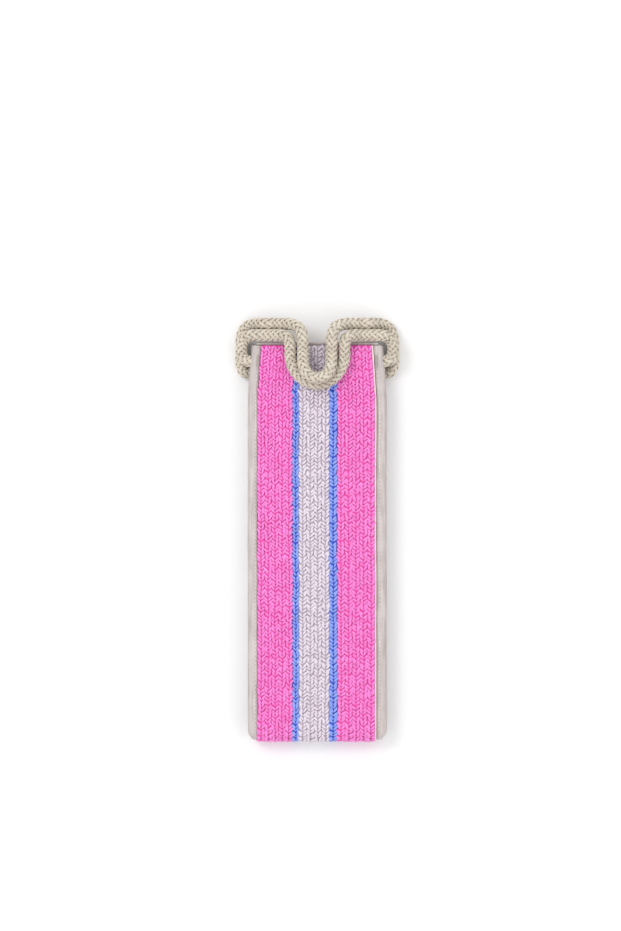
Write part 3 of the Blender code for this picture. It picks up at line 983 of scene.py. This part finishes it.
def makeTapes(materials):
    tree, sockets = seamTree()
    pitch = tapeLook["stitchPitch"]
    for index, (name, start, end) in enumerate(stretches()):
        count = max(3, round((end - start) / tapeLook["ringStep"]))
        firstStitch, lastStitch = math.ceil(start / pitch), math.ceil(end / pitch)
        if index == len(chain):
            lastStitch -= 1  # the last one would hang over the strap's end
        thick = crushedTo(cloth["tapeThick"], cloth["crushedTape"], (start + end) / 2)
        upper = -cloth["tapeTop"] - tapeLook["stitchSunk"]
        lower = -cloth["tapeTop"] - thick + tapeLook["stitchSunk"]
        for sideName, side in (("left", -1), ("right", 1)):
            rings = [tapeRing(start + (end - start) * k / count, side) for k in range(count + 1)]
            skin = smoothed(wrapped(outward(meshFrom("tape", *tube(rings)))), 60)
            tape = newObject(f"{name}_{sideName}_twill", skin, materials["tape"])
            attach(tape, index)
            if hasNode(index):
                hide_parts(f"{name}_{sideName}_edge_tape")
            values = {
                "Start": firstStitch * pitch,
                "Pitch": pitch,
                "Stitches": lastStitch - firstStitch,
                "Across": side * (cloth["faceHalf"] + cloth["gap"] + tapeLook["seamAcross"]),
                "Seed": tapeLook["seed"],
                "Finish": materials["thread"],
            }
            lines = []
            for level in (upper, lower):
                lines.append(grown("seam", threadMesh(), tree, sockets, {**values, "Height": level}))
            seam = newObject(f"{name}_{sideName}_seam", wrapped(joinedMesh("seam", lines)))
            attach(seam, index)
    print("stage: edge tapes")


hemLook = {
    "steps": 80,
    "sides": 16,
    "squareAcross": 0.6,  # lower is squarer
    "squareUp": 0.5,
    "ripple": 0.00018,
}


def makeHems(materials):
    # tape turned over each raw end
    half = cloth["hemHalf"]
    for name, origin, inward in (("back", 0.0, 1), ("front", wholeLong, -1)):
        rings = []
        for k in range(hemLook["steps"] + 1):
            x = -half + 2 * half * k / hemLook["steps"]
            ring = []
            for i, swing in enumerate(swings(hemLook["sides"])):
                reach = math.copysign(abs(math.cos(swing)) ** hemLook["squareAcross"], math.cos(swing))
                rise = math.copysign(abs(math.sin(swing)) ** hemLook["squareUp"], math.sin(swing))
                ripple = hemLook["ripple"] * noise.noise(Vector((x * 120, i * 0.3, 4.0)))
                along = cloth["gap"] + cloth["hemLong"] * (0.5 + 0.5 * reach) + ripple
                height = -cloth["hemTop"] - cloth["hemThick"] * (0.5 - 0.5 * rise) + ripple
                ring.append((x, origin - inward * along, height))
            rings.append(ring)
        skin = smoothed(wrapped(outward(meshFrom("hem", *tube(rings)))), 60)
        hem = newObject(name + "_hem_tape", skin, materials["tape"])
        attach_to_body(hem, name + "_half")
        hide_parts(name + "_end_hem")
    print("stage: hems")


tackLook = {"turns": 14, "stepsPerTurn": 8, "sides": 8, "grip": 0.22}


def makeTacks(materials):
    # a bar of close thread turns over each sewn rope end
    steps = tackLook["turns"] * tackLook["stepsPerTurn"]
    for half in ("back", "front"):
        for side in ("left", "right"):
            node = f"{half}_{side}_rope_tack"
            low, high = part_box(node)
            middle, size = (low + high) / 2, high - low
            rings = []
            for k in range(steps + 1):
                t = k / steps
                ridge = 1 - tackLook["grip"] * (1 - abs(math.sin(math.pi * tackLook["turns"] * t)))
                share = ridge * min(1.0, 6 * min(t, 1 - t) + 0.35) / 2
                y = low.y + size.y * t
                angles = swings(tackLook["sides"])
                rings.append(oval(middle.x, y, middle.z, size.x * share, size.z * share, angles))
            skin = smoothed(outward(meshFrom(node, *tube(rings))), 70)
            tack = newObject(node + "_thread", skin, materials["thread"])
            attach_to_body(tack, half + "_half")
            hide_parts(node)
    print("stage: thread tacks")


loofah = {
    "inset": 0.0002,  # of the mat from the striped face's width, on each side
    "columns": 54,
    "gridStep": 0.0017,
    "lumps": 0.00055,
    "deepest": 0.0013,
    "fibresPerMetre": 9000,
    "fibreLong": 0.0150,
    "fibreThick": 0.00030,
    "seed": 23,
    "netInset": 0.004,  # of the fibres' middles from each side
    "netEndInset": 0.005,
    "netEdge": 0.0004,  # no fibre comes nearer to an edge than this
    "madeAt": -1.0,  # the level at which the net is grown, before it is laid on the mat
    "netRise": 0.0012,
    "netGap": 0.0003,
    "netFlat": 0.9,
    "netDeep": 0.0016,
    "fill": 0.3,
    "bend": 0.0011,  # half of the length over which the loofah bends at a fold line
}


def washingSide(along):
    return -cloth["padTop"] - crushedTo(cloth["padThick"], cloth["crushedPad"], along)


def padMesh(name, start, end):
    # a lumpy closed slab, open-textured on its washing side
    half, steps = cloth["faceHalf"] - loofah["inset"], loofah["columns"]
    columns = [-half + 2 * half * i / steps for i in range(steps + 1)]
    rows = max(3, round((end - start) / loofah["gridStep"]))

    def lumpy(x, along):
        coarse = noise.noise(Vector((x * 260, along * 190, 1.0)))
        fine = noise.noise(Vector((x * 620, along * 420, 5.0)))
        return washingSide(along) + min(loofah["lumps"] * (1.2 + coarse + 0.6 * fine), loofah["deepest"])

    return slab(name, columns, start, end, rows, (lambda x, along: -cloth["padTop"], lumpy))


def fibreMesh():
    # one wavy strand of the loofah's net
    rings = []
    for k in range(7):
        t = k / 6
        x = 0.0016 * math.sin(2.1 * math.pi * t) + 0.0008 * math.sin(5 * t)
        z = 0.0004 * math.sin(math.pi * 3 * t)
        thick = loofah["fibreThick"] * plumpness(t, 0.1, 0.4)
        rings.append(oval(x, (t - 0.5) * loofah["fibreLong"], z, thick, thick, swings(4)))
    return smoothed(outward(meshFrom("fibre", *tube(rings))))


def loofahTree():
    inputs = {"Start": "Float", "End": "Float", "Half Width": "Float", "Level": "Float"}
    inputs |= {"Fibres": "Int", "Seed": "Int", "Finish": "Material"}
    tree, add, given, out, sockets = geometryTree("loofahNet", inputs)

    def draw(number, low, high):
        return drawn(add, low, high, maths(add, "ADD", given["Seed"], number))

    left = maths(add, "MULTIPLY", given["Half Width"], -1.0)
    x, y = draw(1, left, given["Half Width"]), draw(2, given["Start"], given["End"])
    z = maths(add, "ADD", given["Level"], draw(3, 0.0, loofah["netRise"]))
    place = add("ShaderNodeCombineXYZ", {"X": x, "Y": y, "Z": z}).outputs[0]
    points = add("GeometryNodePoints", {"Count": given["Fibres"], "Position": place}).outputs[0]
    turns = {"X": draw(4, -0.04, 0.04), "Y": draw(5, 0.0, 6.28), "Z": draw(6, -1.9, 1.9)}
    spin = add("ShaderNodeCombineXYZ", turns).outputs[0]
    fibres = {"Points": points, "Instance": given["Geometry"], "Rotation": spin, "Scale": draw(7, 0.55, 1.15)}
    laid = add("GeometryNodeInstanceOnPoints", fibres).outputs[0]
    endTree(tree, add, laid, given["Finish"], out)
    return tree, sockets


def laidOnMat(mesh):
    # brings the net down to the washing side, and keeps every point of it over the mat
    edge = cloth["faceHalf"] - loofah["netEdge"]
    for vertex in mesh.vertices:
        x, along, height = vertex.co
        lowest = washingSide(along)
        raised = lowest + loofah["netGap"] + (height - loofah["madeAt"]) * loofah["netFlat"]
        x = min(max(x, -edge), edge)
        along = min(max(along, loofah["netEdge"]), wholeLong - loofah["netEdge"])
        vertex.co = (x, along, min(raised, lowest + loofah["netDeep"]))
    return mesh


def makeLoofah(materials):
    tree, sockets = loofahTree()
    for index, (name, start, end) in enumerate(stretches()):
        mat = smoothed(wrapped(padMesh(name + "_loofah_pad", start, end)), 50)
        pad = newObject(name + "_loofah_mat", mat, materials["loofah"])
        values = {
            "Start": start + (loofah["netEndInset"] if name == "back" else 0.0),
            "End": end - (loofah["netEndInset"] if name == "front" else 0.0),
            "Half Width": cloth["faceHalf"] - loofah["netInset"],
            "Level": loofah["madeAt"],
            "Fibres": max(40, round((end - start) * loofah["fibresPerMetre"])),
            "Seed": loofah["seed"] + index,
            "Finish": materials["fibre"],
        }
        fibres = grown(name + "_loofah_net", fibreMesh(), tree, sockets, values)
        net = newObject(name + "_loofah_net", wrapped(laidOnMat(fibres)))
        for made in (pad, net):
            attach(made, index)
        if hasNode(index):
            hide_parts(name + "_loofah_pad")
    print("stage: loofah")


studio = {
    "floor": rgb(0.93, 0.93, 0.935),
    "floorRough": 0.9,
    "floorHalf": 6.0,
    "drop": 0.0002,  # how far the floor lies under the strap
    "world": 0.98,
    # name, place, power and width of each light
    "lights": [("key", (-0.9, 0.75, 1.5), 8.0, 0.7), ("fill", (1.1, -0.4, 1.3), 1.5, 1.2)],
}


def makeStudio():
    scene = bpy.context.scene
    scene.view_settings.view_transform = "Standard"
    world = bpy.data.worlds.new("studio")
    world.use_nodes = True
    sky = world.node_tree.nodes["Background"].inputs
    sky["Color"].default_value = rgb(1, 1, 1)
    sky["Strength"].default_value = studio["world"]
    scene.world = world
    half = studio["floorHalf"]
    corners = [(-half, -half, 0), (half, -half, 0), (half, half, 0), (-half, half, 0)]
    paint = bpy.data.materials.new("paleFloor")
    paint.use_nodes = True
    shader = paint.node_tree.nodes["Principled BSDF"].inputs
    shader["Base Color"].default_value = studio["floor"]
    shader["Roughness"].default_value = studio["floorRough"]
    floor = newObject("floor", meshFrom("floor", corners, [(0, 1, 2, 3)]), paint)
    floor.location.z = -studio["drop"]
    for name, place, power, wide in studio["lights"]:
        light = bpy.data.lights.new(name, "AREA")
        light.energy = power
        light.size = wide
        lamp = bpy.data.objects.new(name, light)
        lamp.location = place
        lamp.rotation_euler = (-Vector(place)).to_track_quat("-Z", "Y").to_euler()
        scene.collection.objects.link(lamp)
    print("stage: studio")


makeCamera()
materials = makeMaterials()
for half in ("back", "front"):
    makeRope(half, materials["rope"])
makeKnit(materials)
makeTapes(materials)
makeHems(materials)
makeTacks(materials)
makeLoofah(materials)
makeStudio()
